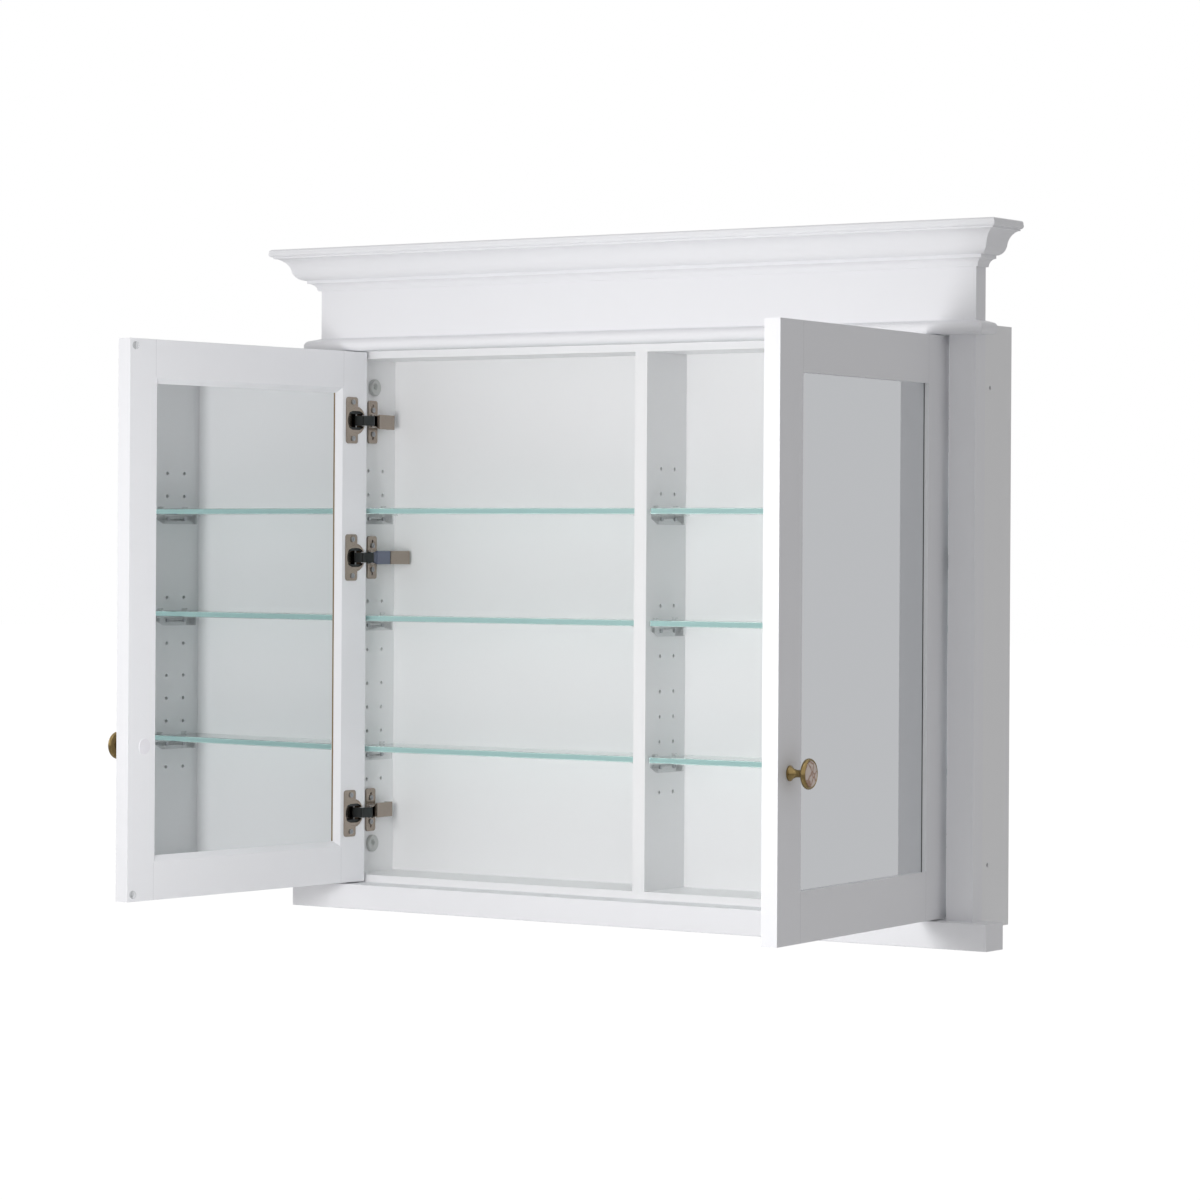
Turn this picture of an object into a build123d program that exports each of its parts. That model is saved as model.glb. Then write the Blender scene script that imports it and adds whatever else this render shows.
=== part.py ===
from build123d import *
from math import atan2, cos, degrees, radians, sin
import os

os.makedirs("parts", exist_ok=True)

# The wall is the plane y = 0, the cabinet's front faces -y, and x = 0 is its middle.
# Heights count up from the underside of the base board. The origin is midway
# between the two hanging screws, so the base board lies hang_height below it.
hang_height = 772.5
base_z = -hang_height
cabinet_depth = 123.0
front_y = -cabinet_depth

# Carcass of 18 mm board behind a solid face frame.
board, side_board = 18.0, 19.0
back_board = 5.0
frame_half = 488.5
frame_thickness = 24.0
frame_stile = 35.5
opening_half = frame_half - frame_stile
carcass_y = front_y + frame_thickness
side_low, side_high = 20.0, 748.0
floor_top = 42.0
ceiling = 724.5

# Front mouldings.
base_high, base_out, base_half = 32.4, 19.0, 516.5
frieze_low, frieze_high = 734.0, 868.0
bead_low, bead_high, bead_out = 733.6, 17.4, 16.8
crown_low, crown_out = 814.5, 50.0
mitre_kerf = 0.15

# Hanging rail, hidden behind the frieze.
rail_half, rail_low, rail_high = 400.0, 742.5, 802.5
hang_spacing, hang_hole_r = 406.4, 3.0

# Holes of the 32 mm boring system, and the glass shelves that use them.
pitch = 32.0
peg_r, peg_bore = 2.5, 8.0
peg_column = front_y + 58.5
peg_rows = [166.0 + pitch * step for step in range(5)]
peg_rows += [339.0 + pitch * step for step in range(3)]
peg_rows += [513.0 + pitch * step for step in range(3)]
shelf_rows = [198.0, 371.0, 513.0]
shelf_names = ["low", "middle", "high"]
shelf_rise, shelf_glass = 6.0, 8.0
shelf_gap = 1.5
shelf_front, shelf_back = front_y + 31.5, -back_board - 1.0
side_hole_y, side_hole_low, side_hole_gap = front_y + 68.0, 96.0, 576.0

# Doors, inset flush with the face frame and swung open in this pose.
open_angle = 94.0
door_low, door_high = 34.5, 698.0
door_thick = 20.0
hinge_gap, middle_gap = 1.5, 2.5
door_wide = opening_half - hinge_gap - middle_gap / 2
member, margin = 58.0, 46.5
mirror_set, mirror_thick = 5.8, 3.0
bead_wide = 8.5
knob_u, knob_v = door_wide - member / 2, 192.0

# Concealed cup hinges, measured from the left side panel and the frame's front.
hinge_heights = [125.0, 461.5, 642.0]
pole_x, pole_y = 12.7, 4.6
cup_u, cup_r, cup_wall, cup_deep = 22.5, 17.5, 0.8, 13.4
flange = 1.2
screw_u, screw_v = 28.5, 24.0
cup_pin_u, cup_pin_d = 12.0, 8.0
arm_reach = 27.2
pin_r, pin_play, slot_travel = 1.1, 0.05, 3.4
link_wide, neck_wide, link_half = 4.8, 3.4, 6.4
slot_wide = 3.4
elbow_along, elbow_out = 12.8, 6.0
ear_in, ear_out = 7.2, 8.4
plate_y, plate_wide, plate_high, plate_thick = 65.0, 20.0, 57.0, 2.4


def level(height):
    """The horizontal plane at a height above the underside of the base board."""
    return Plane.XY.offset(base_z + height)


def turned(x, y, angle):
    """A vector in plan, turned by an angle in degrees."""
    c, s = cos(radians(angle)), sin(radians(angle))
    return x * c - y * s, x * s + y * c


def opened(x, y):
    """Where a point of the closed left door lies once the door has swung open.

    Both are plan distances from the side panel and from the frame's front.
    """
    dx, dy = turned(x - pole_x, y - pole_y, -open_angle)
    return pole_x + dx, pole_y + dy


def plan(x, y):
    """Plan distances from the left side panel and the frame's front, in the part's axes."""
    return -opening_half + x, front_y + y


def slab(x0, x1, y0, y1, low, high):
    """Adds a board between two corners, its heights above the base board."""
    with BuildSketch(level(low)) as outline:
        with Locations(((x0 + x1) / 2, (y0 + y1) / 2)):
            Rectangle(x1 - x0, y1 - y0)
    extrude(outline.sketch, amount=high - low)


def save(builder, name):
    builder.part.label = name
    export_step(builder.part, f"parts/{name}.step")


def save_pair(builder, name):
    """Writes a left-hand piece and its mirror image."""
    save(builder, f"left_{name}")
    with BuildPart() as twin:
        mirror(builder.part, about=Plane.YZ)
    save(twin, f"right_{name}")


def save_both(builder, name):
    """Writes left-hand pieces and their mirror images as one group."""
    with BuildPart() as group:
        add(builder.part)
        mirror(builder.part, about=Plane.YZ)
    save(group, name)


# Pole-side corner of the left door's outer face, and the door's own planes. On them
# x runs from the hinge edge to the free edge and y up from the door's bottom edge.
edge = plan(*opened(hinge_gap, 0))
along = turned(1, 0, -open_angle)
out = turned(0, -1, -open_angle)
outer_face = Plane(
    origin=(edge[0], edge[1], base_z + door_low), x_dir=(*along, 0), z_dir=(*out, 0)
)
inner_face = outer_face.offset(-door_thick)


def peg_holes(face):
    """Bores the two columns of shelf-peg holes into one face of a panel."""
    spots = [
        face.to_local_coords(Vector(face.origin.X, peg_column + column * pitch, base_z + row))
        for row in peg_rows
        for column in range(2)
    ]
    with BuildSketch(face) as bores:
        with Locations(*[(spot.X, spot.Y) for spot in spots]):
            Circle(peg_r)
    extrude(bores.sketch, amount=-peg_bore, mode=Mode.SUBTRACT)


# Carcass

with BuildPart() as side:
    slab(-opening_half - side_board, -opening_half, carcass_y, 0, side_low, side_high)
    peg_holes(Plane(origin=(-opening_half, 0, 0), x_dir=(0, 1, 0), z_dir=(1, 0, 0)))
    with BuildSketch(Plane(origin=(-opening_half - side_board, 0, 0), x_dir=(0, -1, 0), z_dir=(-1, 0, 0))):
        with Locations(
            (-side_hole_y, base_z + side_hole_low),
            (-side_hole_y, base_z + side_hole_low + side_hole_gap),
        ):
            Circle(peg_r)
    extrude(amount=-12, mode=Mode.SUBTRACT)
save_pair(side, "side_panel")

with BuildPart() as top_panel:
    slab(-opening_half, opening_half, carcass_y, -back_board, ceiling, ceiling + board)
save(top_panel, "top_panel")

with BuildPart() as bottom_panel:
    slab(-opening_half, opening_half, carcass_y, -back_board, floor_top - board, floor_top)
save(bottom_panel, "bottom_panel")

with BuildPart() as partition:
    slab(-board / 2, board / 2, carcass_y, -back_board, floor_top, ceiling)
    peg_holes(Plane(origin=(board / 2, 0, 0), x_dir=(0, 1, 0), z_dir=(1, 0, 0)))
    peg_holes(Plane(origin=(-board / 2, 0, 0), x_dir=(0, -1, 0), z_dir=(-1, 0, 0)))
save(partition, "partition")

with BuildPart() as back_panel:
    slab(-opening_half, opening_half, -back_board, 0, floor_top - board, ceiling + board)
save(back_panel, "back_panel")

with BuildPart() as hanging_rail:
    slab(-rail_half, rail_half, -board, 0, rail_low, rail_high)
    with BuildSketch(Plane.XZ):
        with Locations((-hang_spacing / 2, 0), (hang_spacing / 2, 0)):
            Circle(hang_hole_r)
    extrude(amount=board, mode=Mode.SUBTRACT)
save(hanging_rail, "hanging_rail")

# Face frame and mouldings

with BuildPart() as frame_stile_part:
    slab(-frame_half, -opening_half, front_y, carcass_y, base_high, frieze_low)
save_pair(frame_stile_part, "frame_stile")

with BuildPart() as frieze_board:
    slab(-frame_half, frame_half, front_y, carcass_y, frieze_low, frieze_high)
save(frieze_board, "frieze_board")

with BuildPart() as base_board:
    slab(-base_half, base_half, front_y - base_out, carcass_y, 0, base_high)
    rims = base_board.edges().filter_by(Axis.X).group_by(Axis.Y)[0]
    fillet(rims, radius=1.2)
save(base_board, "base_board")


def round_the_frame(name, low, profile):
    """Runs a moulding along the front and back along both ends, mitred at the corners."""
    z = base_z + low
    with BuildPart() as moulding:
        with BuildLine() as run:
            Polyline(
                (-frame_half, carcass_y, z),
                (-frame_half, front_y, z),
                (frame_half, front_y, z),
                (frame_half, carcass_y, z),
            )
        end = Plane(origin=(-frame_half, carcass_y, z), x_dir=(-1, 0, 0), z_dir=(0, 1, 0))
        with BuildSketch(end):
            with BuildLine():
                profile()
            make_face()
        sweep(path=run.line, transition=Transition.RIGHT)
        for end_sign in (-1, 1):
            corner = Plane(
                origin=(end_sign * frame_half, front_y, z),
                x_dir=(end_sign, -1, 0),
                z_dir=(0, 0, 1),
            )
            with BuildSketch(corner):
                Rectangle(300, mitre_kerf)
            extrude(amount=100, mode=Mode.SUBTRACT)
    save(moulding, name)


def crown_profile():
    """Cavetto, fillet, cyma and a rounded fascia, from the frieze outwards."""
    top = frieze_high - crown_low
    Polyline((0, top), (0, 0), (3.8, 0))
    ThreePointArc((3.8, 0), (6.2, 6.0), (12.5, 9.6))
    Polyline((12.5, 9.6), (14.1, 9.6), (14.1, 13.6), (17.0, 13.6))
    ThreePointArc((17.0, 13.6), (24.6, 17.6), (28.6, 25.4))
    ThreePointArc((28.6, 25.4), (33.4, 35.4), (43.6, 41.6))
    Polyline((43.6, 41.6), (46.2, 41.6), (46.2, 43.8))
    ThreePointArc((46.2, 43.8), (50.1, 45.6), (crown_out, 49.4))
    ThreePointArc((crown_out, 49.4), (49.2, 52.4), (46.0, top))
    Line((46.0, top), (0, top))


def bead_profile():
    """A bullnose with a top that falls a little towards the nose."""
    Polyline((0, bead_high), (0, 0), (10.2, 0))
    ThreePointArc((10.2, 0), (bead_out, 7.0), (11.4, 14.4))
    Line((11.4, 14.4), (0, bead_high))


round_the_frame("crown_moulding", crown_low, crown_profile)
round_the_frame("frieze_bead", bead_low, bead_profile)

# Glass shelves with their clear clips and steel pegs

bays = {"left": (-opening_half, -board / 2), "right": (board / 2, opening_half)}
for bay_name, (bay_low, bay_high) in bays.items():
    for shelf_name, row in zip(shelf_names, shelf_rows):
        with BuildPart() as shelf:
            rise = row + shelf_rise
            slab(
                bay_low + shelf_gap,
                bay_high - shelf_gap,
                shelf_front,
                shelf_back,
                rise,
                rise + shelf_glass,
            )
            fillet(shelf.edges().filter_by(Axis.X), radius=0.8)
        save(shelf, f"{bay_name}_{shelf_name}_shelf")

ledge, clip_wall, clip_drop = 9.0, 2.0, 13.0
tab_wall, tab_long, tab_reach = 1.1, 8.0, 3.2
clip_front, clip_back = shelf_front + 4.0, shelf_back - 4.0
clip_chamfer = 7.5
ends = [(-opening_half, 1), (-board / 2, -1), (board / 2, 1), (opening_half, -1)]

with BuildPart() as shelf_clips:
    for wall_x, inward in ends:
        for row in shelf_rows:
            seat = base_z + row + shelf_rise
            wall = Plane(origin=(wall_x, 0, seat), x_dir=(0, 1, 0), z_dir=(1, 0, 0))
            with BuildSketch(wall):
                with BuildLine():
                    Polyline(
                        (clip_front, 0),
                        (clip_back, 0),
                        (clip_back, -clip_drop),
                        (clip_front + 2 * clip_chamfer, -clip_drop),
                        (clip_front, -clip_drop + clip_chamfer),
                        close=True,
                    )
                make_face()
                with Locations(
                    (peg_column, -shelf_rise),
                    (peg_column + pitch, -shelf_rise),
                ):
                    Circle(peg_r, mode=Mode.SUBTRACT)
            extrude(amount=inward * clip_wall)
            with BuildSketch(wall):
                with Locations(((clip_front + clip_back) / 2, -0.8)):
                    Rectangle(clip_back - clip_front, 1.6)
            extrude(amount=inward * ledge)
            for tab_y in (peg_column - 14, peg_column + pitch):
                with BuildSketch(wall):
                    with Locations((tab_y, (shelf_glass + 3.0) / 2)):
                        Rectangle(tab_long, shelf_glass + 3.0)
                extrude(amount=inward * tab_wall)
                with BuildSketch(wall):
                    with Locations((tab_y, shelf_glass + 2.0)):
                        Rectangle(tab_long, 2.0)
                extrude(amount=inward * tab_reach)
save(shelf_clips, "shelf_clips")

with BuildPart() as shelf_pegs:
    for wall_x, inward in ends:
        for row in shelf_rows:
            wall = Plane(origin=(wall_x, 0, base_z + row), x_dir=(0, 1, 0), z_dir=(1, 0, 0))
            with BuildSketch(wall.offset(-inward * peg_bore)):
                with Locations((peg_column, 0), (peg_column + pitch, 0)):
                    Circle(peg_r)
            extrude(amount=inward * (peg_bore + clip_wall + 0.6))
save(shelf_pegs, "shelf_pegs")

# Panel connectors: round caps with a cross slot, inside the top and bottom corners
with BuildPart() as connectors:
    for height in (80.0, 688.0):
        wall = Plane(
            origin=(-opening_half, front_y + 69.0, base_z + height), x_dir=(0, 1, 0), z_dir=(1, 0, 0)
        )
        with BuildSketch(wall):
            Circle(11.2)
        cap = extrude(amount=4.7)
        chamfer(cap.edges().sort_by(Axis.X)[-1], length=1.0)
        with BuildSketch(wall.offset(4.7)):
            with Locations((-2.6, 1.4)):
                Circle(4.2)
        extrude(amount=-1.2, mode=Mode.SUBTRACT)
        with BuildSketch(wall.offset(3.5)):
            with Locations((-2.6, 1.4)):
                Rectangle(6.0, 1.4)
                Rectangle(1.4, 6.0)
        extrude(amount=-1.6, mode=Mode.SUBTRACT)
save_both(connectors, "panel_connectors")

# Left door, built where it stands open. The right door is its mirror image.


def door_board(u0, u1, v0, v1, depth0, depth1):
    """Adds a board of the door between two depths behind its outer face."""
    with BuildSketch(outer_face.offset(-depth0)) as outline:
        with Locations(((u0 + u1) / 2, (v0 + v1) / 2)):
            Rectangle(u1 - u0, v1 - v0)
    extrude(outline.sketch, amount=-(depth1 - depth0))


cup_heights = [height - door_low for height in hinge_heights]

with BuildPart() as hinge_stile:
    door_board(0, margin, 0, door_high, 0, door_thick)
    door_board(margin, member, 0, door_high, 0, mirror_set)
    with BuildSketch(inner_face):
        with Locations(*[(cup_u, v) for v in cup_heights]):
            Circle(cup_r)
    extrude(amount=cup_deep, mode=Mode.SUBTRACT)
    with BuildSketch(inner_face):
        with Locations(*[(screw_u, v + s) for v in cup_heights for s in (-screw_v, screw_v)]):
            Circle(1.6)
    extrude(amount=9, mode=Mode.SUBTRACT)
save_pair(hinge_stile, "door_hinge_stile")

with BuildPart() as knob_stile:
    door_board(door_wide - margin, door_wide, 0, door_high, 0, door_thick)
    door_board(door_wide - member, door_wide - margin, 0, door_high, 0, mirror_set)
    with BuildSketch(inner_face):
        with Locations((knob_u, knob_v)):
            Circle(2.2)
    extrude(amount=door_thick, mode=Mode.SUBTRACT)
save_pair(knob_stile, "door_knob_stile")

for rail_name, foot, lip in (("bottom", 0, member), ("top", door_high - margin, door_high)):
    with BuildPart() as door_rail:
        door_board(margin, door_wide - margin, foot, foot + margin, mirror_set, door_thick)
        door_board(member, door_wide - member, lip - member, lip, 0, mirror_set)
    save_pair(door_rail, f"door_{rail_name}_rail")

pane_wide, pane_high = door_wide - 2 * margin - 1, door_high - 2 * margin - 1
panes = (("outer", mirror_set), ("inner", mirror_set + mirror_thick))
for pane_name, depth in panes:
    with BuildPart() as pane:
        with BuildSketch(outer_face.offset(-depth)):
            with Locations((door_wide / 2, door_high / 2)):
                Rectangle(pane_wide, pane_high)
        extrude(amount=-mirror_thick)
    save_pair(pane, f"{pane_name}_mirror")

# Bevelled strips that hold the mirrors in their rebate, mitred at the corners
strip_floor = mirror_set + 2 * mirror_thick
strip_thick = door_thick - strip_floor
with BuildPart() as mirror_strips:
    with BuildSketch(outer_face.offset(-strip_floor)):
        with Locations((door_wide / 2, door_high / 2)):
            Rectangle(door_wide - 2 * margin, door_high - 2 * margin)
            Rectangle(
                door_wide - 2 * (margin + bead_wide),
                door_high - 2 * (margin + bead_wide),
                mode=Mode.SUBTRACT,
            )
    extrude(amount=-strip_thick)
    lip_face = mirror_strips.faces().filter_by(inner_face).sort_by(
        lambda face: inner_face.to_local_coords(face.center()).Z
    )[0]
    chamfer(lip_face.inner_wires().edges(), length=6.8)
    for u, turn in ((margin, 45), (door_wide - margin, 135)):
        for v, sign in ((margin, 1), (door_high - margin, -1)):
            with BuildSketch(inner_face.offset(-1)):
                with Locations((u, v)):
                    Rectangle(40, mitre_kerf, rotation=turn * sign)
            extrude(amount=strip_thick + 2, mode=Mode.SUBTRACT)
save_pair(mirror_strips, "mirror_strips")

# Knob, turned from brass, with a stone disc let into its face
stem = Plane(
    origin=outer_face.from_local_coords(Vector(knob_u, knob_v, 0)),
    x_dir=outer_face.x_dir,
    z_dir=outer_face.y_dir,
)
knob_far, head_r, disc_r = 27.0, 17.5, 14.6
with BuildPart() as knob:
    with BuildSketch(stem):
        with BuildLine():
            Polyline((0, 0), (8.8, 0), (8.8, -1.6), (7.9, -2.4))
            ThreePointArc((7.9, -2.4), (5.0, -6.6), (4.3, -12.0))
            ThreePointArc((4.3, -12.0), (5.0, -15.6), (8.6, -18.4))
            ThreePointArc((8.6, -18.4), (13.6, -19.6), (16.6, -21.4))
            ThreePointArc((16.6, -21.4), (head_r, -24.2), (15.8, -knob_far))
            Polyline(
                (15.8, -knob_far),
                (disc_r, -knob_far + 0.6),
                (disc_r, -knob_far + 2.2),
                (0, -knob_far + 2.2),
                (0, 0),
            )
        make_face()
    revolve(axis=Axis(stem.origin, stem.y_dir))
save_pair(knob, "knob")

with BuildPart() as knob_disc:
    with BuildSketch(stem):
        with BuildLine():
            Polyline(
                (0, -knob_far + 2.2),
                (disc_r, -knob_far + 2.2),
                (disc_r, -knob_far + 0.5),
                (disc_r - 0.7, -knob_far - 0.1),
                (0, -knob_far - 0.1),
                close=True,
            )
        make_face()
    revolve(axis=Axis(stem.origin, stem.y_dir))
save_pair(knob_disc, "knob_disc")

# Knob screw under its round cap, and the two clear bumpers
with BuildPart() as knob_cap:
    with BuildSketch(inner_face):
        with Locations((knob_u, knob_v)):
            Circle(10.0)
    extrude(amount=-0.8)
    chamfer(knob_cap.edges().sort_by(lambda e: inner_face.to_local_coords(e.center()).Z)[0], 0.4)
    with BuildSketch(inner_face):
        with Locations((knob_u, knob_v)):
            Circle(2.2)
    extrude(amount=door_thick)
save_pair(knob_cap, "knob_screw")

with BuildPart() as bumpers:
    with BuildSketch(inner_face):
        with Locations((door_wide - 9, 9), (door_wide - 9, door_high - 9)):
            Circle(5.0)
    pads = extrude(amount=-2.8)
    tops = pads.faces().filter_by(inner_face).group_by(
        lambda face: round(inner_face.to_local_coords(face.center()).Z, 3)
    )[0]
    fillet(tops.edges(), radius=1.6)
save_pair(bumpers, "bumpers")

# Cup hinges. The pivots are worked out in plan: the cup pin turns with the door about
# the pole, and the arm's pin lies on the bisector of the cup pin's closed and open
# places, so the link between them has the same length at both ends of the travel.
cup_pin_closed = (hinge_gap + cup_pin_u, door_thick - cup_pin_d)
cup_pin = Vector(*opened(*cup_pin_closed))
bisector = degrees(atan2(cup_pin_closed[1] - pole_y, cup_pin_closed[0] - pole_x)) - open_angle / 2
reach = turned(arm_reach, 0, bisector)
arm_pin = Vector(pole_x + reach[0], pole_y + reach[1])
heading = (cup_pin - arm_pin).normalized()
outward = Vector(-heading.Y, heading.X)
elbow = arm_pin + heading * elbow_along + outward * elbow_out


def bar(start, end, wide):
    """Adds a round-ended bar in plan between two points."""
    a, b = plan(start.X, start.Y), plan(end.X, end.Y)
    dx, dy = b[0] - a[0], b[1] - a[1]
    with Locations(Location(((a[0] + b[0]) / 2, (a[1] + b[1]) / 2), degrees(atan2(dy, dx)))):
        SlotCenterToCenter((dx**2 + dy**2) ** 0.5, wide)


def in_plan(points):
    return [plan(x, y) for x, y in points]


def disc(centre, radius, mode=Mode.ADD):
    with Locations(plan(centre.X, centre.Y)):
        Circle(radius, mode=mode)


def layer(height, low, high):
    """The sketch plane of a layer of a hinge, and its thickness."""
    return level(height + low), high - low


with BuildPart() as hinge_cups:
    with BuildSketch(inner_face):
        for v in cup_heights:
            with Locations((cup_u, v)):
                Circle(18.5)
            with Locations((screw_u + 2.0, v)):
                RectangleRounded(23.0, 61.0, 4.0)
            with Locations((cup_u, v)):
                Circle(cup_r - cup_wall, mode=Mode.SUBTRACT)
            with Locations((cup_u - cup_r, v)):
                Rectangle(14, 2 * ear_in, mode=Mode.SUBTRACT)
            with Locations((screw_u, v - screw_v), (screw_u, v + screw_v)):
                Circle(1.6, mode=Mode.SUBTRACT)
    extrude(amount=-flange)
    with BuildSketch(inner_face):
        with Locations(*[(cup_u, v) for v in cup_heights]):
            Circle(cup_r)
    extrude(amount=cup_deep)
    with BuildSketch(inner_face):
        with Locations(*[(cup_u, v) for v in cup_heights]):
            Circle(cup_r - cup_wall)
    extrude(amount=cup_deep - 0.6, mode=Mode.SUBTRACT)
    with BuildSketch(inner_face):
        for v in cup_heights:
            with Locations((cup_u - cup_r, v)):
                Rectangle(12, 2 * ear_in)
    extrude(amount=2.4, mode=Mode.SUBTRACT)
save_pair(hinge_cups, "hinge_cups")

cheek_in, cheek_out = 9.0, 12.3
with BuildPart() as cup_cheeks:
    with BuildSketch(inner_face.offset(1.2)):
        for v in cup_heights:
            with Locations((cup_u, v)):
                Circle(cup_r - cup_wall)
    extrude(amount=cup_deep - 1.8)
    with BuildSketch(inner_face):
        for v in cup_heights:
            with Locations((cup_u, v - 20), (cup_u, v + 20)):
                Rectangle(40, 40 - 2 * cheek_out + 0.0)
            with Locations((cup_u, v)):
                Rectangle(40, 2 * cheek_in)
    extrude(amount=cup_deep, mode=Mode.SUBTRACT)
    with BuildSketch(level(0)):
        disc(cup_pin, pin_r)
    extrude(amount=door_high + door_low, mode=Mode.SUBTRACT)
save_pair(cup_cheeks, "cup_cheeks")

with BuildPart() as cup_pins:
    for height in hinge_heights:
        with BuildSketch(level(height - 10.5)):
            disc(cup_pin, pin_r)
        extrude(amount=21.0)
save_pair(cup_pins, "cup_pins")

with BuildPart() as cup_screws:
    spots = [(screw_u, v + s) for v in cup_heights for s in (-screw_v, screw_v)]
    with BuildSketch(inner_face.offset(-flange)):
        with Locations(*spots):
            Circle(3.3)
    extrude(amount=-1.4)
    with BuildSketch(inner_face.offset(-flange)):
        with Locations(*spots):
            Circle(1.6)
    extrude(amount=flange + 9)
    with BuildSketch(inner_face.offset(-flange - 1.4)):
        with Locations(*spots):
            Rectangle(3.6, 0.8)
            Rectangle(0.8, 3.6)
    extrude(amount=1.0, mode=Mode.SUBTRACT)
save_pair(cup_screws, "cup_screws")

# Hooked links: two ears joined by a web on the side away from the door's edge. The
# slot at the arm's end takes up the link's change of length in mid-travel.
slot_end = arm_pin + heading * slot_travel
with BuildPart() as hinge_links:
    for height in hinge_heights:
        plane, thick = layer(height, -link_half, link_half)
        with BuildSketch(plane):
            bar(arm_pin, elbow, link_wide)
            bar(elbow, cup_pin, neck_wide)
        extrude(amount=thick)
        plane, thick = layer(height, -link_half + 1.2, link_half - 1.2)
        shift = outward * -1.1
        with BuildSketch(plane):
            bar(arm_pin + shift, elbow + shift, link_wide)
            bar(elbow + shift, cup_pin + shift, neck_wide)
            bar(arm_pin, slot_end, slot_wide)
        extrude(amount=thick, mode=Mode.SUBTRACT)
        plane, thick = layer(height, -link_half, link_half)
        with BuildSketch(plane):
            bar(arm_pin, slot_end, slot_wide)
            disc(cup_pin, pin_r + pin_play)
        extrude(amount=thick, mode=Mode.SUBTRACT)
save_pair(hinge_links, "hinge_links")

# Arms: a stamped channel that steps out from the mounting plate to the nose.
arm_heading = (Vector(13.5, 55.0) - arm_pin).normalized()
arm_side = Vector(arm_heading.Y, -arm_heading.X)
nose_r = 3.6
nose_outer = arm_pin + arm_side * nose_r
nose_tip = arm_pin - arm_heading * nose_r
nose_inner = arm_pin - arm_side * nose_r
knee, heel = (17.5, 54.5), (12.5, 95.0)


def ear_outline():
    a, b, c = [plan(point.X, point.Y) for point in (nose_outer, nose_tip, nose_inner)]
    with BuildLine() as outline:
        ThreePointArc(a, b, c)
        Polyline(c, *in_plan([(7.5, 48.5), (2.6, 54.0), (2.6, 93.0), (5.0, 95.0), heel, knee]), a)
    make_face(outline.edges())
    disc(arm_pin, pin_r, Mode.SUBTRACT)


with BuildPart() as hinge_arms:
    for height in hinge_heights:
        for low in (-ear_out, ear_in):
            plane, thick = layer(height, low, low + ear_out - ear_in)
            with BuildSketch(plane):
                ear_outline()
            extrude(amount=thick)
        plane, thick = layer(height, -ear_out, ear_out)
        with BuildSketch(plane):
            with BuildLine():
                Polyline(
                    *in_plan([knee, heel, (heel[0] - 1.3, heel[1]), (knee[0] - 1.6, knee[1] + 1)]),
                    close=True,
                )
            make_face()
        extrude(amount=thick)
save_both(hinge_arms, "hinge_arms")

with BuildPart() as arm_pins:
    for height in hinge_heights:
        with BuildSketch(level(height - ear_out)):
            disc(arm_pin, pin_r)
        extrude(amount=2 * ear_out)
        for low in (-ear_out - 0.5, ear_out):
            with BuildSketch(level(height + low)):
                disc(arm_pin, 2.0)
            extrude(amount=0.5)
save_both(arm_pins, "arm_pins")

# Mounting plates: a pierced cross on the side panel, and the block the arm clips to
side_face = Plane(origin=(-opening_half, 0, 0), x_dir=(0, 1, 0), z_dir=(1, 0, 0))
screw_gap, spare_gap = 32.0, 43.0
with BuildPart() as hinge_plates:
    for height in hinge_heights:
        mid = base_z + height
        with BuildSketch(side_face):
            with Locations((front_y + plate_y, mid)):
                RectangleRounded(plate_wide, plate_high, 4.0)
            for gap in (screw_gap, spare_gap):
                with Locations(
                    (front_y + plate_y, mid - gap / 2),
                    (front_y + plate_y, mid + gap / 2),
                ):
                    Circle(1.9, mode=Mode.SUBTRACT)
        extrude(amount=plate_thick)
        with BuildSketch(side_face.offset(plate_thick)):
            with Locations((front_y + 73.0, mid)):
                RectangleRounded(40.0, 2 * ear_in - 0.4, 2.0)
        extrude(amount=5.0)
save_both(hinge_plates, "hinge_plates")

with BuildPart() as plate_screws:
    spots = [
        (front_y + plate_y, base_z + height + side * screw_gap / 2)
        for height in hinge_heights
        for side in (-1, 1)
    ]
    with BuildSketch(side_face.offset(plate_thick)):
        with Locations(*spots):
            Circle(3.4)
    extrude(amount=1.5)
    with BuildSketch(side_face.offset(plate_thick)):
        with Locations(*spots):
            Circle(1.9)
    extrude(amount=-plate_thick)
    with BuildSketch(side_face.offset(plate_thick + 1.5)):
        with Locations(*spots):
            Rectangle(3.6, 0.8)
            Rectangle(0.8, 3.6)
    extrude(amount=-1.0, mode=Mode.SUBTRACT)
save_both(plate_screws, "plate_screws")

# Sheet-metal covers: over the arms of the outer hinges, and over the back of the dampers
cover_half = 9.6
with BuildPart() as arm_covers:
    for height in (hinge_heights[0], hinge_heights[2]):
        plane, thick = layer(height, -cover_half, cover_half)
        with BuildSketch(plane):
            with BuildLine():
                Polyline(
                    *in_plan([(17.4, 56.5), (19.0, 57.2), (14.2, 97.4), (6.0, 97.4), (6.0, 90.0), (12.0, 90.0)]),
                    close=True,
                )
            make_face()
        extrude(amount=thick)
        plane, thick = layer(height, -ear_out, ear_out)
        with BuildSketch(plane):
            with BuildLine():
                Polyline(
                    *in_plan([(17.5, 50.0), knee, heel, (heel[0], 95.6), (0.0, 95.6), (0.0, 50.0)]),
                    close=True,
                )
            make_face()
        extrude(amount=thick, mode=Mode.SUBTRACT)
save_both(arm_covers, "arm_covers")

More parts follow.
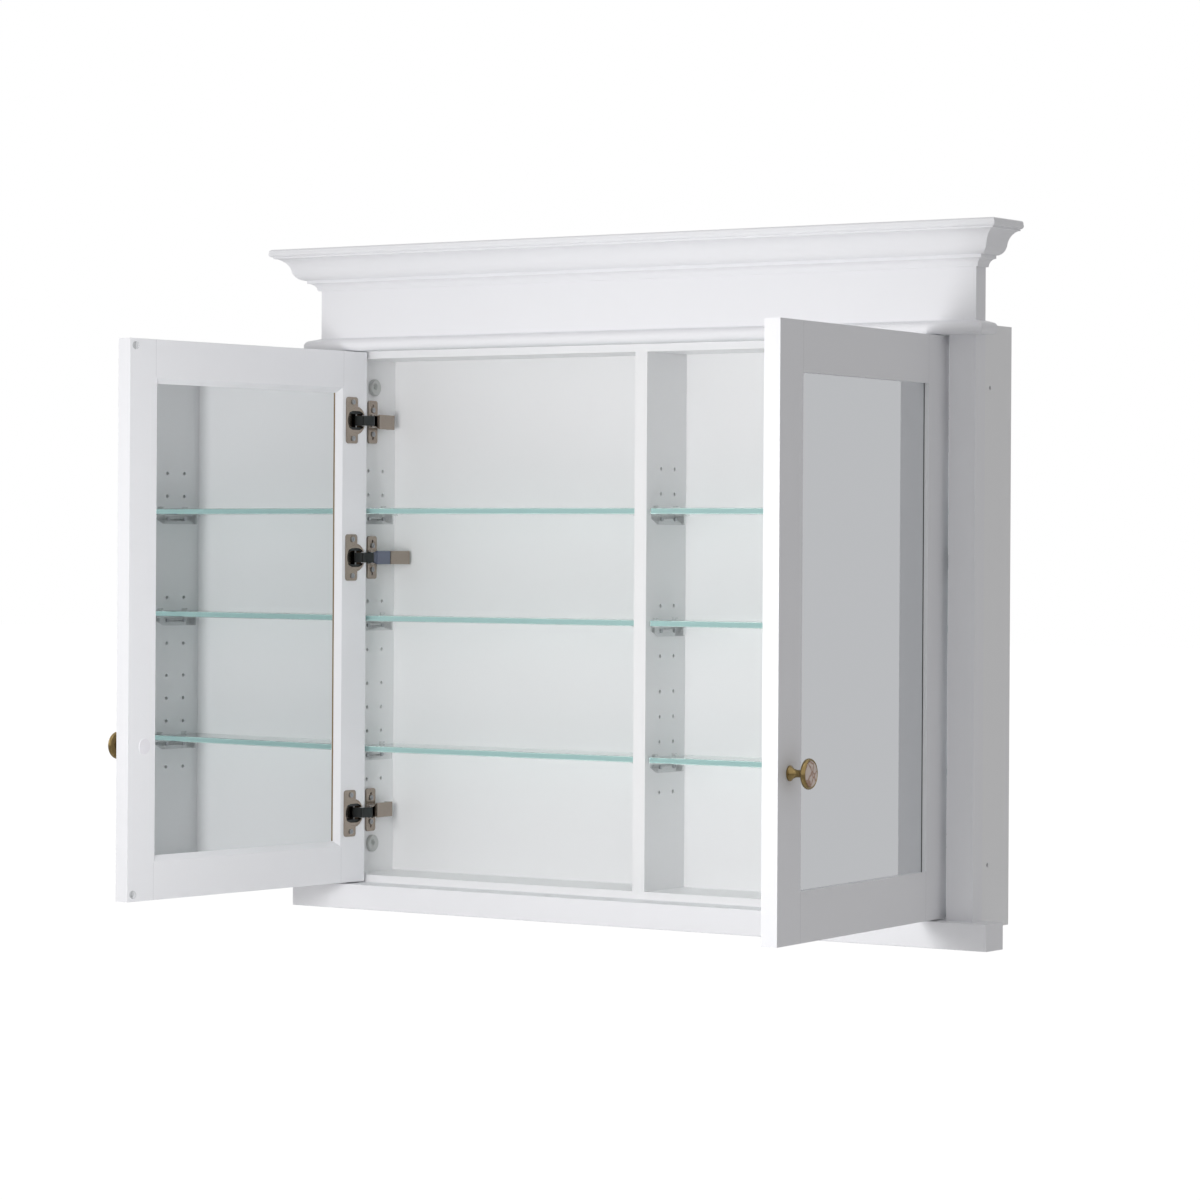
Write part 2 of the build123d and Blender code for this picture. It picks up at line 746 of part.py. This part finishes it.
# Soft-close dampers, clipped over the arms of the middle hinges
damper_half = 8.8
with BuildPart() as dampers:
    plane, thick = layer(hinge_heights[1], -damper_half, damper_half)
    with BuildSketch(plane):
        with BuildLine():
            Polyline(
                *in_plan([(30.0, 35.5), (32.6, 35.5), (32.6, 64.0), (31.0, 66.0)]),
                *in_plan([(17.0, 66.0), (18.0, 54.7)]),
                close=True,
            )
        make_face()
    extrude(amount=thick)
    plane, thick = layer(hinge_heights[1], -ear_in + 0.1, ear_in - 0.1)
    with BuildSketch(plane):
        with BuildLine():
            Polyline(
                *in_plan([(31.6, 44.0), (31.6, 30.5), (29.4, 26.6), (27.0, 27.4)]),
                *in_plan([(18.2, 48.0), (19.5, 60.0)]),
                close=True,
            )
        make_face()
    extrude(amount=thick)
save_both(dampers, "dampers")
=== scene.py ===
from math import cos, pi, radians, sin

import bmesh
import bpy
from bpy.props import FloatProperty, FloatVectorProperty, PointerProperty
from mathutils import Matrix, Vector


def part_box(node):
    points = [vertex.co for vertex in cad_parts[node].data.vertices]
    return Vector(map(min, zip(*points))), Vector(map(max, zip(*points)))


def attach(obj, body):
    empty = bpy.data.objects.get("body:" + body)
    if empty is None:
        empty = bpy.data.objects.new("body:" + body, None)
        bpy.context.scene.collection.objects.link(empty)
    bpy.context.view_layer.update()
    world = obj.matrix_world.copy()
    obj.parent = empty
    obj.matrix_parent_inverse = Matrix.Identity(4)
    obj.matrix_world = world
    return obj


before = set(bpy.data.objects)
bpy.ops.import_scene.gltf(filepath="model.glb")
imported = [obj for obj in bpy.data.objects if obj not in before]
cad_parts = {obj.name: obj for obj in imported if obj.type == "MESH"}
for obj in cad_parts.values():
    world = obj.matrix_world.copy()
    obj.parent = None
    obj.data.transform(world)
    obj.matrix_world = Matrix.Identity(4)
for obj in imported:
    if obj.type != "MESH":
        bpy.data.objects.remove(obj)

bl_info = {
    "name": "Mirrored Medicine Cabinet",
    "version": (1, 0, 0),
    "blender": (4, 5, 0),
    "location": "View3D > Sidebar > Cabinet",
    "description": "Finishes a wall cabinet with mirrored doors and sets up its studio",
    "category": "Object",
}

MM = 0.001
OPEN_ANGLE = 94  # degrees between a door and the frame, as the CAD has it
PHOTO_WIDE = 1200  # pixels, and its height is the same
FOCAL_LENGTH = 4110.24  # pixels, as the next two are, from the fit of the camera
OPTICAL_CENTRE = (493.55, 546.64)
SENSOR_WIDE = 36.0


def linear(hex_colour):
    """sRGB hex such as F4F4F2 to linear red, green, blue and alpha."""
    values = [int(hex_colour[i : i + 2], 16) / 255 for i in (0, 2, 4)]
    straight = [v / 12.92 if v <= 0.04045 else ((v + 0.055) / 1.055) ** 2.4 for v in values]
    return (*straight, 1.0)


def add_node(tree, kind, settings=None, inputs=None, links=None):
    """Adds a node, sets its properties and sockets, and links sockets from others."""
    node = tree.nodes.new(kind)
    for key, value in (settings or {}).items():
        setattr(node, key, value)
    for key, value in (inputs or {}).items():
        node.inputs[key].default_value = value
    for key, source in (links or {}).items():
        tree.links.new(source, node.inputs[key])
    return node


def new_material(name, **sockets):
    """A material with one Principled shader, its sockets set by their names."""
    material = bpy.data.materials.new(name)
    material.use_nodes = True
    shader = material.node_tree.nodes["Principled BSDF"]
    for key, value in sockets.items():
        shader.inputs[key.replace("_", " ")].default_value = value
    return material, shader


def sprayed_lacquer(colour):
    # Satin white lacquer sprayed on solid wood and fibreboard: an even film with a
    # soft, wide highlight.
    return new_material("sprayed_lacquer", Base_Color=colour, Roughness=0.42, IOR=1.5)[0]


def melamine_facing(colour):
    # Melamine paper pressed on particle board: a smooth white that is a little glossier
    # than the sprayed front.
    return new_material("melamine_facing", Base_Color=colour, Roughness=0.34, IOR=1.55)[0]


def planed_pine(colour):
    # Flat-sawn and planed softwood, left bare: yellow-brown and dull, with growth rings
    # about 16 mm apart on its broad face.
    material, shader = new_material("planed_pine", Base_Color=colour, Roughness=0.65, IOR=1.5)
    tree = material.node_tree
    place = add_node(tree, "ShaderNodeTexCoord")
    # At a scale of 1 the texture's bands are 2 pi / 20 m apart.
    ring_gap = 15.78 * MM
    scale = 2 * pi / 20 / ring_gap
    rings = add_node(
        tree,
        "ShaderNodeTexWave",
        {"bands_direction": "Z"},
        {"Scale": scale, "Distortion": 0.9, "Detail": 2.0, "Detail Scale": 1.5},
        {"Vector": place.outputs["Object"]},
    )
    ramp = add_node(tree, "ShaderNodeValToRGB", links={"Fac": rings.outputs["Fac"]})
    ramp.color_ramp.elements[0].color = linear("C8A572")
    ramp.color_ramp.elements[1].color = colour
    tree.links.new(ramp.outputs["Color"], shader.inputs["Base Color"])
    return material


def silvered_mirror(colour):
    # Float glass silvered on its back: a sharp reflection, a little
    # dimmer than what it shows.
    return new_material("silvered_mirror", Base_Color=colour, Metallic=1.0, Roughness=0.015)[0]


def polished_float_glass(colour):
    # Clear float glass with ground and polished edges: see-through from the front, and
    # blue-green along the edge, where the light runs the long way.
    return new_material(
        "polished_float_glass", Base_Color=colour, Roughness=0.02, IOR=1.52, Transmission_Weight=1.0
    )[0]


def polished_glass_edge(colour):
    # The ground and polished long edge of the float glass, where its iron shows as aqua.
    return new_material(
        "polished_glass_edge", Base_Color=colour, Roughness=0.15, IOR=1.52, Alpha=0.85
    )[0]


def moulded_clear_plastic(colour):
    # Injection-moulded clear polycarbonate: thin walls that look milky and half see-through.
    return new_material(
        "moulded_clear_plastic", Base_Color=colour, Roughness=0.18, IOR=1.58, Alpha=0.22
    )[0]


def nickel_plated_steel(colour):
    # Stamped sheet steel, nickel plated: a warm grey metal with blurred reflections.
    return new_material("nickel_plated_steel", Base_Color=colour, Metallic=1.0, Roughness=0.26)[0]


def steel_in_painted_shade(colour):
    # Stamped nickel-plated steel coloured near black, with small soft glints: the near black is
    # painted shade, for the shadow inside the hinge cups and on the links.
    return new_material("steel_in_painted_shade", Base_Color=colour, Metallic=0.8, Roughness=0.4)[0]


def zinc_plated_steel(colour):
    # Turned and headed steel, zinc plated: a cooler and duller grey than nickel.
    return new_material("zinc_plated_steel", Base_Color=colour, Metallic=1.0, Roughness=0.36)[0]


def moulded_nylon(name, colour):
    # Injection-moulded nylon: an even colour with a soft sheen.
    return new_material(name, Base_Color=colour, Roughness=0.4, IOR=1.53)[0]


def aged_brass(colour):
    # Cast and polished brass that has darkened a little under clear lacquer.
    return new_material(
        "aged_brass",
        Base_Color=colour,
        Metallic=1.0,
        Roughness=0.24,
        Coat_Weight=0.3,
        Coat_Roughness=0.1,
    )[0]


def veined_marble(colour):
    # Ground and polished beige marble, with thin brown veins round patches 14 mm across.
    material, shader = new_material("veined_marble", Base_Color=colour, Roughness=0.12, IOR=1.49)
    tree = material.node_tree
    place = add_node(tree, "ShaderNodeTexCoord")
    bend = add_node(
        tree,
        "ShaderNodeTexNoise",
        inputs={"Scale": 1 / (9 * MM), "Detail": 4.0, "Roughness": 0.6},
        links={"Vector": place.outputs["Object"]},
    )
    shift = add_node(
        tree,
        "ShaderNodeVectorMath",
        {"operation": "MULTIPLY_ADD"},
        {1: (5 * MM, 5 * MM, 5 * MM)},
        {0: bend.outputs["Color"], 2: place.outputs["Object"]},
    )
    veins = add_node(
        tree,
        "ShaderNodeTexVoronoi",
        {"feature": "DISTANCE_TO_EDGE"},
        {"Scale": 1 / (14 * MM)},
        {"Vector": shift.outputs["Vector"]},
    )
    ramp = add_node(tree, "ShaderNodeValToRGB", links={"Fac": veins.outputs["Distance"]})
    first, last = ramp.color_ramp.elements
    first.position, first.color = 0.0, linear("A07050")
    last.position, last.color = 0.1, colour
    tree.links.new(ramp.outputs["Color"], shader.inputs["Base Color"])
    return material


def colour_property(name, description, hex_colour):
    return FloatVectorProperty(
        name=name,
        description=description,
        subtype="COLOR",
        size=4,
        min=0,
        max=1,
        default=linear(hex_colour),
    )


def length_property(name, description, metres):
    return FloatProperty(
        name=name, description=description, subtype="DISTANCE", unit="LENGTH", default=metres
    )


def light_property(name, description, level):
    return FloatProperty(name=name, description=description, default=level)


class CabinetColours(bpy.types.PropertyGroup):
    lacquer: colour_property("Lacquer", "Paint of the front, doors and mouldings", "F1F1F4")
    melamine: colour_property("Melamine", "Facing of the panels", "F3F3F4")
    pine: colour_property("Pine", "Bare hanging rail", "D9B98A")
    mirror: colour_property("Mirror", "Tint of the mirrors", "E6E8E9")
    glass: colour_property("Glass", "Tint of the shelves", "E6F8F5")
    glass_edge: colour_property("Glass edge", "Front edge of the shelves", "A6C8C6")
    clear: colour_property("Clear plastic", "Shelf clips and bumpers", "F0F3F4")
    nickel: colour_property("Nickel", "Hinges", "A0958A")
    # Painted shade: the links and cup insides are nickel-plated, coloured near black for the shadow
    # they lie in.
    painted_shade_steel: colour_property("Dark steel", "Links and insides of the hinge cups", "3E4141")
    zinc: colour_property("Zinc", "Pins, pegs and screws", "A9ABAE")
    damper: colour_property("Damper", "Soft-close dampers", "666C80")
    connector: colour_property("Connector", "Panel connectors", "C6C8C6")
    cap: colour_property("Cap", "Screw cap on the back of the door", "ECEAEF")
    brass: colour_property("Brass", "Knobs", "8F7A4E")
    marble: colour_property("Marble", "Disc in the knob", "DCCBC0")
    edge: colour_property("Bare edge", "Unpainted edge beside the inner mirror", "86704C")
    backing: colour_property("Backing", "Dark edge of the outer mirror", "2A2C2F")
    seam: colour_property("Seam", "Fine line where a rail meets a stile", "C3C3C7")


class CabinetSizes(bpy.types.PropertyGroup):
    opening_half: length_property("Opening half", "Half the width between the side panels", 0.453)
    frame_front: length_property("Frame front", "Depth of the frame's front from the wall", 0.123)
    pole_in: length_property("Pole in", "Swing axis from the side panel", 0.0127)
    pole_back: length_property("Pole back", "Swing axis behind the frame's front", 0.0046)
    hinge_gap: length_property("Hinge gap", "Gap between door and frame", 0.0015)
    leaf_wide: length_property("Door width", "Width of each door", 0.45025)
    leaf_high: length_property("Door height", "Height of each door", 0.698)
    leaf_low: length_property("Door foot", "Door's foot from the hanging holes", -0.738)
    leaf_up: length_property("Door up", "Door's foot above the cabinet's foot", 0.0345)
    leaf_thick: length_property("Door thickness", "Thickness of each door", 0.020)
    member: length_property("Member", "Width of a stile or rail on the front", 0.058)
    margin: length_property("Margin", "Width of a stile or rail on the back", 0.0465)
    mirror_set: length_property("Mirror depth", "Outer mirror behind the front", 0.0058)
    strip_wide: length_property("Strip width", "Width of the strips that hold the mirrors", 0.0085)
    cup_along: length_property("Cup", "Middle of a hinge cup from the hinge edge", 0.0225)
    hinge_heights: FloatVectorProperty(
        name="Hinges",
        description="Heights of the three hinges above the cabinet's foot",
        subtype="XYZ_LENGTH",
        unit="LENGTH",
        size=3,
        default=(0.125, 0.4615, 0.642),
    )


class CabinetStudio(bpy.types.PropertyGroup):
    world_level: light_property("World level", "Even light from all sides", 0.4)
    key_power: light_property("Key power", "Soft light far to the left, in watts", 35.0)
    near_power: light_property("Near power", "Light before the open doors, in watts", 10.5)
    top_power: light_property("Top power", "Soft light from above, in watts", 5.0)
    floor_drop: length_property("Floor drop", "Floor below the cabinet's foot", 0.42)


def sizes():
    return bpy.context.scene.cabinet_sizes


def colours():
    return bpy.context.scene.cabinet_colours


def coat(material, names):
    """Gives CAD nodes their material. Each name stands for itself or for a left and right pair."""
    for name in names:
        found = [n for n in (name, f"left_{name}", f"right_{name}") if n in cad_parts]
        if not found:
            raise RuntimeError(f"there is no piece named {name}")
        for node in found:
            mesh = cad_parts[node].data
            mesh.materials.clear()
            mesh.materials.append(material)


def door_spot(side, along, up, behind):
    """A point of a door, from its hinge edge, its foot and its outer face, in the open pose."""
    s = sizes()
    turn = radians(-OPEN_ANGLE)
    x, y = s.hinge_gap - s.pole_in + along, behind - s.pole_back
    x, y = x * cos(turn) - y * sin(turn), x * sin(turn) + y * cos(turn)
    x, y = -s.opening_half + s.pole_in + x, -s.frame_front + s.pole_back + y
    return Vector((x if side == "left" else -x, y, s.leaf_low + up))


def bar(name, corners, material, body, flipped=False):
    """A straight bar through eight corners, which moves with a body."""
    faces = [(0, 1, 3, 2), (4, 6, 7, 5), (0, 4, 5, 1), (2, 3, 7, 6), (0, 2, 6, 4), (1, 5, 7, 3)]
    mesh = bpy.data.meshes.new(name)
    mesh.from_pydata(corners, [], faces)
    if flipped:
        mesh.flip_normals()
    mesh.materials.append(material)
    piece = bpy.data.objects.new(name, mesh)
    bpy.context.collection.objects.link(piece)
    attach(piece, body)
    return piece


def door_bar(name, side, along, up, behind, material):
    """A thin bar on a door, between two values each of along, up and behind."""
    corners = [door_spot(side, a, u, b) for a in along for u in up for b in behind]
    return bar(name, corners, material, f"{side}_door", side == "right")


class CABINET_OT_finish_case(bpy.types.Operator):
    """Paints the face frame and mouldings, and faces the panels"""

    bl_idname = "cabinet.finish_case"
    bl_label = "Finish the case"

    def execute(self, context):
        c = colours()
        coat(
            sprayed_lacquer(c.lacquer),
            ["frame_stile", "frieze_board", "base_board", "crown_moulding", "frieze_bead"],
        )
        coat(
            melamine_facing(c.melamine),
            ["side_panel", "top_panel", "bottom_panel", "partition", "back_panel"],
        )
        coat(planed_pine(c.pine), ["hanging_rail"])
        coat(moulded_nylon("moulded_grey_nylon", c.connector), ["panel_connectors"])
        return {"FINISHED"}


class CABINET_OT_finish_shelves(bpy.types.Operator):
    """Gives the shelves their glass, and their clips and pegs their finishes"""

    bl_idname = "cabinet.finish_shelves"
    bl_label = "Finish the shelves"

    def execute(self, context):
        c = colours()
        coat(polished_float_glass(c.glass), ["low_shelf", "middle_shelf", "high_shelf"])
        coat(moulded_clear_plastic(c.clear), ["shelf_clips", "bumpers"])
        coat(zinc_plated_steel(c.zinc), ["shelf_pegs"])
        edge = polished_glass_edge(c.glass_edge)
        for side in ("left", "right"):
            for row in ("low", "middle", "high"):
                shelf = f"{side}_{row}_shelf"
                # Clear glass and plastic throw almost no shadow.
                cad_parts[shelf].visible_shadow = False
                low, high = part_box(shelf)
                corners = [
                    Vector((x, y, z))
                    for x in (low[0] + MM, high[0] - MM)
                    for z in (low[2] + MM, high[2] - MM)
                    for y in (low[1] - 0.1 * MM, low[1] + 0.1 * MM)
                ]
                front = bar(f"{shelf}_edge", corners, edge, "cabinet")
                front.visible_shadow = False
        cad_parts["shelf_clips"].visible_shadow = False
        return {"FINISHED"}


class CABINET_OT_finish_doors(bpy.types.Operator):
    """Paints the doors, silvers their mirrors and finishes the knobs"""

    bl_idname = "cabinet.finish_doors"
    bl_label = "Finish the doors"

    def execute(self, context):
        c = colours()
        lacquer = bpy.data.materials["sprayed_lacquer"]
        members = ["door_hinge_stile", "door_knob_stile", "door_bottom_rail", "door_top_rail"]
        coat(lacquer, [*members, "mirror_strips"])
        coat(silvered_mirror(c.mirror), ["outer_mirror", "inner_mirror"])
        coat(aged_brass(c.brass), ["knob"])
        coat(veined_marble(c.marble), ["knob_disc"])
        coat(moulded_nylon("moulded_white_nylon", c.cap), ["knob_screw"])
        return {"FINISHED"}


class CABINET_OT_finish_hinges(bpy.types.Operator):
    """Plates the hinges and colours their dampers"""

    bl_idname = "cabinet.finish_hinges"
    bl_label = "Finish the hinges"

    def execute(self, context):
        c = colours()
        coat(
            nickel_plated_steel(c.nickel),
            ["hinge_cups", "hinge_arms", "hinge_plates", "arm_covers"],
        )
        # The cup cheeks and links are nickel like the rest; their near-black colour is painted
        # shade.
        coat(steel_in_painted_shade(c.painted_shade_steel), ["cup_cheeks", "hinge_links"])
        zinc = bpy.data.materials["zinc_plated_steel"]
        coat(zinc, ["cup_pins", "cup_screws", "arm_pins", "plate_screws"])
        coat(moulded_nylon("moulded_blue_grey_nylon", c.damper), ["dampers"])
        return {"FINISHED"}


def prism(name, outline, low, high, body, material):
    """A plate with any outline, between the two depths that low and high place it at."""
    count = len(outline)
    points = [low(x, y) for x, y in outline] + [high(x, y) for x, y in outline]
    sides = [(i, (i + 1) % count, (i + 1) % count + count, i + count) for i in range(count)]
    mesh = bpy.data.meshes.new(name)
    ends = [tuple(range(count))[::-1], tuple(range(count, 2 * count))]
    mesh.from_pydata(points, [], [*ends, *sides])
    shape = bmesh.new()
    shape.from_mesh(mesh)
    bmesh.ops.recalc_face_normals(shape, faces=shape.faces)
    shape.to_mesh(mesh)
    shape.free()
    mesh.materials.append(material)
    piece = bpy.data.objects.new(name, mesh)
    bpy.context.collection.objects.link(piece)
    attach(piece, body)
    return piece


class CABINET_OT_add_hinge_covers(bpy.types.Operator):
    """Adds the plates that narrow each cup's mouth, and the sleeves behind the dampers"""

    bl_idname = "cabinet.add_hinge_covers"
    bl_label = "Add the hinge covers"

    def execute(self, context):
        s = sizes()
        nickel = bpy.data.materials["nickel_plated_steel"]
        # A plate covers the cup's round mouth from its rim down to the links' opening.
        radius, shoulder = 16.6 * MM, radians(38)
        steps = 10
        arc = [shoulder + (radians(180) - 2 * shoulder) * i / steps for i in range(steps + 1)]
        rim = [(radius * cos(t), radius * sin(t)) for t in arc]
        mouth = [(-7 * MM, 12.4 * MM), (7 * MM, 12.4 * MM)]
        for side in ("left", "right"):
            for row, height in zip(("low", "middle", "high"), s.hinge_heights):
                up = height - s.leaf_up
                for end, flip in (("over", 1), ("under", -1)):
                    outline = [(s.cup_along + x, up + flip * y) for x, y in (*rim, *mouth)]
                    prism(
                        f"{side}_{row}_cup_plate_{end}", outline,
                        lambda a, u: door_spot(side, a, u, s.leaf_thick + 0.5 * MM),
                        lambda a, u: door_spot(side, a, u, s.leaf_thick + 1.1 * MM),
                        f"{side}_door", nickel,
                    )
            # Distances from the side panel, and behind the frame's front.
            sleeve = [
                (12.9, 66.4),
                (31.4, 66.4),
                (32.2, 68.0),
                (30.6, 111.0),
                (29.4, 112.0),
                (16.0, 112.0),
                (12.9, 96.0),
            ]
            hand = -1 if side == "left" else 1
            middle = s.leaf_low - s.leaf_up + s.hinge_heights[1]

            def place(x, y, z):
                return hand * (s.opening_half - x * MM), y * MM - s.frame_front, middle + z * MM

            prism(
                f"{side}_damper_sleeve", sleeve,
                lambda x, y: place(x, y, -8.8), lambda x, y: place(x, y, 8.8),
                "cabinet", nickel,
            )
        return {"FINISHED"}


class CABINET_OT_add_mirror_edges(bpy.types.Operator):
    """Adds the bare edge beside the inner mirror and the dark edge of the outer one"""

    bl_idname = "cabinet.add_mirror_edges"
    bl_label = "Add the mirror edges"

    def execute(self, context):
        s, c = sizes(), colours()
        # Unpainted fibreboard, cut to size: a thin brown line.
        bare = new_material("cut_fibreboard", Base_Color=c.edge, Roughness=0.8)[0]
        # Paint that seals the silver of a mirror: a thin dark line at its edge.
        dark = new_material("mirror_backing_paint", Base_Color=c.backing, Roughness=0.5)[0]
        inner = s.margin + s.strip_wide
        mirror_back = s.mirror_set + 6 * MM
        ends = (inner, s.leaf_high - inner)
        for side in ("left", "right"):
            door_bar(
                f"{side}_bare_edge", side, (inner, inner + 1.5 * MM), ends,
                (mirror_back, mirror_back + 0.5 * MM), bare,
            )
            door_bar(
                f"{side}_dark_edge", side, (s.member, s.member + 0.8 * MM),
                (s.member, s.leaf_high - s.member),
                (s.mirror_set - 0.4 * MM, s.mirror_set), dark,
            )
        return {"FINISHED"}


class CABINET_OT_add_seams(bpy.types.Operator):
    """Adds the fine lines where the rails meet the stiles"""

    bl_idname = "cabinet.add_seams"
    bl_label = "Add the seams"

    def execute(self, context):
        s = sizes()
        # A filled joint under lacquer: it shows as a line a little darker than the paint.
        seam = new_material("filled_joint", Base_Color=colours().seam, Roughness=0.6)[0]
        half = 0.15 * MM
        proud = 0.02 * MM
        faces = {
            "outer": (s.member, (-proud, half)),
            "inner": (s.margin, (s.leaf_thick - half, s.leaf_thick + proud)),
        }
        for side in ("left", "right"):
            for face, (reach, depth) in faces.items():
                for end, up in (("low", (0, reach)), ("high", (s.leaf_high - reach, s.leaf_high))):
                    for edge, along in (("hinge", reach), ("knob", s.leaf_wide - reach)):
                        door_bar(
                            f"{side}_{face}_{end}_{edge}_seam", side, (along - half, along + half),
                            up, depth, seam,
                        )
        return {"FINISHED"}


class CABINET_OT_build_studio(bpy.types.Operator):
    """Adds the floor, the lights, the world and the camera"""

    bl_idname = "cabinet.build_studio"
    bl_label = "Build the studio"

    def execute(self, context):
        studio = context.scene.cabinet_studio
        self.add_world(context, studio)
        self.add_floor(context, studio)
        self.add_card(context)
        self.add_light(context, "key", Vector((-5.2, -2.75, 1.1)), 2.8, studio.key_power)
        self.add_light(context, "near", Vector((0.15, -1.6, -0.35)), 0.5, studio.near_power)
        self.add_light(context, "top", Vector((0.2, -1.6, 2.4)), 2.0, studio.top_power)
        self.add_camera(context)
        context.scene.view_settings.view_transform = "Standard"
        return {"FINISHED"}

    def add_world(self, context, studio):
        """White to the camera and in reflections, and an even grey light elsewhere."""
        world = context.scene.world or bpy.data.worlds.new("studio")
        context.scene.world = world
        world.use_nodes = True
        tree = world.node_tree
        tree.nodes.clear()
        path = add_node(tree, "ShaderNodeLightPath")
        seen = path.outputs["Is Camera Ray"]
        for ray in ("Is Glossy Ray", "Is Transmission Ray"):
            both = add_node(
                tree,
                "ShaderNodeMath",
                {"operation": "MAXIMUM"},
                links={0: seen, 1: path.outputs[ray]},
            )
            seen = both.outputs[0]
        level = add_node(
            tree,
            "ShaderNodeMapRange",
            inputs={"To Min": studio.world_level, "To Max": 1.0},
            links={"Value": seen},
        )
        light = add_node(
            tree,
            "ShaderNodeBackground",
            inputs={"Color": (1, 1, 1, 1)},
            links={"Strength": level.outputs[0]},
        )
        add_node(tree, "ShaderNodeOutputWorld", links={"Surface": light.outputs[0]})

    def add_floor(self, context, studio):
        """A pale floor, white to the camera from above and clear from below."""
        height = sizes().leaf_low - sizes().leaf_up - studio.floor_drop
        mesh = bpy.data.meshes.new("floor")
        reach = 30.0
        corners = [(x * reach, y * reach, height) for x, y in ((-1, -1), (1, -1), (1, 1), (-1, 1))]
        mesh.from_pydata(corners, [], [(0, 1, 2, 3)])
        floor = bpy.data.objects.new("floor", mesh)
        context.collection.objects.link(floor)
        material, shader = new_material("pale_floor", Base_Color=linear("F2F2F2"), Roughness=0.9)
        tree = material.node_tree
        path = add_node(tree, "ShaderNodeLightPath")
        glow = add_node(
            tree, "ShaderNodeEmission", inputs={"Color": (1, 1, 1, 1), "Strength": 1.09}
        )
        share = add_node(
            tree, "ShaderNodeMapRange", inputs={"To Min": 0.0, "To Max": 0.9},
            links={"Value": path.outputs["Is Camera Ray"]},
        )
        mix = add_node(
            tree, "ShaderNodeMixShader",
            links={0: share.outputs[0], 1: shader.outputs[0], 2: glow.outputs[0]},
        )
        side = add_node(tree, "ShaderNodeNewGeometry")
        clear = add_node(tree, "ShaderNodeBsdfTransparent")
        both = add_node(
            tree, "ShaderNodeMixShader",
            links={0: side.outputs["Backfacing"], 1: mix.outputs[0], 2: clear.outputs[0]},
        )
        tree.links.new(both.outputs[0], tree.nodes["Material Output"].inputs["Surface"])
        mesh.materials.append(material)

    def add_card(self, context):
        """A pale grey card behind and to the right, which only reflections see."""
        near, far, behind, tall = 0.3, 3.4, 1.2, 2
        corners = [(near, -tall), (far, -tall), (far, tall), (near, tall)]
        mesh = bpy.data.meshes.new("pale_card")
        mesh.from_pydata([(x, behind, z) for x, z in corners], [], [(0, 1, 2, 3)])
        card = bpy.data.objects.new("pale_card", mesh)
        context.collection.objects.link(card)
        material, shader = new_material("pale_card", Base_Color=linear("000000"), Roughness=1.0)
        shader.inputs["Emission Color"].default_value = linear("CBCBCD")
        shader.inputs["Emission Strength"].default_value = 1.0
        mesh.materials.append(material)
        card.visible_camera = False
        card.visible_diffuse = False
        card.visible_shadow = False
        card.visible_transmission = False

    def add_light(self, context, name, place, size, power):
        """A round soft lamp, aimed at the cabinet. Only the mirrors miss the near one."""
        aim = Vector((0, -0.1, -0.34))
        lamp = bpy.data.lights.new(name, "AREA")
        lamp.shape = "DISK"
        lamp.size = size
        lamp.energy = power
        light = bpy.data.objects.new(name, lamp)
        light.location = place
        light.rotation_euler = (aim - place).to_track_quat("-Z", "Y").to_euler()
        light.visible_camera = False
        light.visible_glossy = name != "near"
        context.collection.objects.link(light)

    def add_camera(self, context):
        """The photograph's camera: level, from the front right, with a small tilt of the frame."""
        lens = bpy.data.cameras.new("camera")
        lens.sensor_width = SENSOR_WIDE
        lens.lens = SENSOR_WIDE * FOCAL_LENGTH / PHOTO_WIDE
        middle = PHOTO_WIDE / 2
        lens.shift_x = (middle - OPTICAL_CENTRE[0]) / PHOTO_WIDE
        lens.shift_y = (OPTICAL_CENTRE[1] - middle) / PHOTO_WIDE
        lens.clip_end = 100
        camera = bpy.data.objects.new("camera", lens)
        context.collection.objects.link(camera)
        turn = Matrix.Rotation(radians(34.699), 4, "Z") @ Matrix.Rotation(radians(90), 4, "X")
        tilt = Matrix.Rotation(radians(0.334), 4, "Z")
        camera.matrix_world = Matrix.Translation((2.80559, -4.47664, -0.29563)) @ turn @ tilt
        context.scene.camera = camera


class CABINET_PT_panel(bpy.types.Panel):
    """Lists the cabinet's steps, colours and sizes"""

    bl_label = "Medicine Cabinet"
    bl_idname = "CABINET_PT_panel"
    bl_space_type = "VIEW_3D"
    bl_region_type = "UI"
    bl_category = "Cabinet"

    def draw(self, context):
        scene = context.scene
        for step in STEPS:
            self.layout.operator(step.bl_idname)
        for group in (scene.cabinet_colours, scene.cabinet_sizes, scene.cabinet_studio):
            box = self.layout.box()
            for name in group.__annotations__:
                box.prop(group, name)


STEPS = (
    CABINET_OT_finish_case,
    CABINET_OT_finish_shelves,
    CABINET_OT_finish_doors,
    CABINET_OT_finish_hinges,
    CABINET_OT_add_hinge_covers,
    CABINET_OT_add_mirror_edges,
    CABINET_OT_add_seams,
    CABINET_OT_build_studio,
)
CLASSES = (CabinetColours, CabinetSizes, CabinetStudio, *STEPS, CABINET_PT_panel)


def register():
    for part in CLASSES:
        bpy.utils.register_class(part)
    bpy.types.Scene.cabinet_colours = PointerProperty(type=CabinetColours)
    bpy.types.Scene.cabinet_sizes = PointerProperty(type=CabinetSizes)
    bpy.types.Scene.cabinet_studio = PointerProperty(type=CabinetStudio)


def unregister():
    del bpy.types.Scene.cabinet_studio
    del bpy.types.Scene.cabinet_sizes
    del bpy.types.Scene.cabinet_colours
    for part in reversed(CLASSES):
        bpy.utils.unregister_class(part)


def main():
    register()
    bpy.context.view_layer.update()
    for step in STEPS:
        group, name = step.bl_idname.split(".")
        getattr(getattr(bpy.ops, group), name)()


if __name__ == "__main__":
    main()
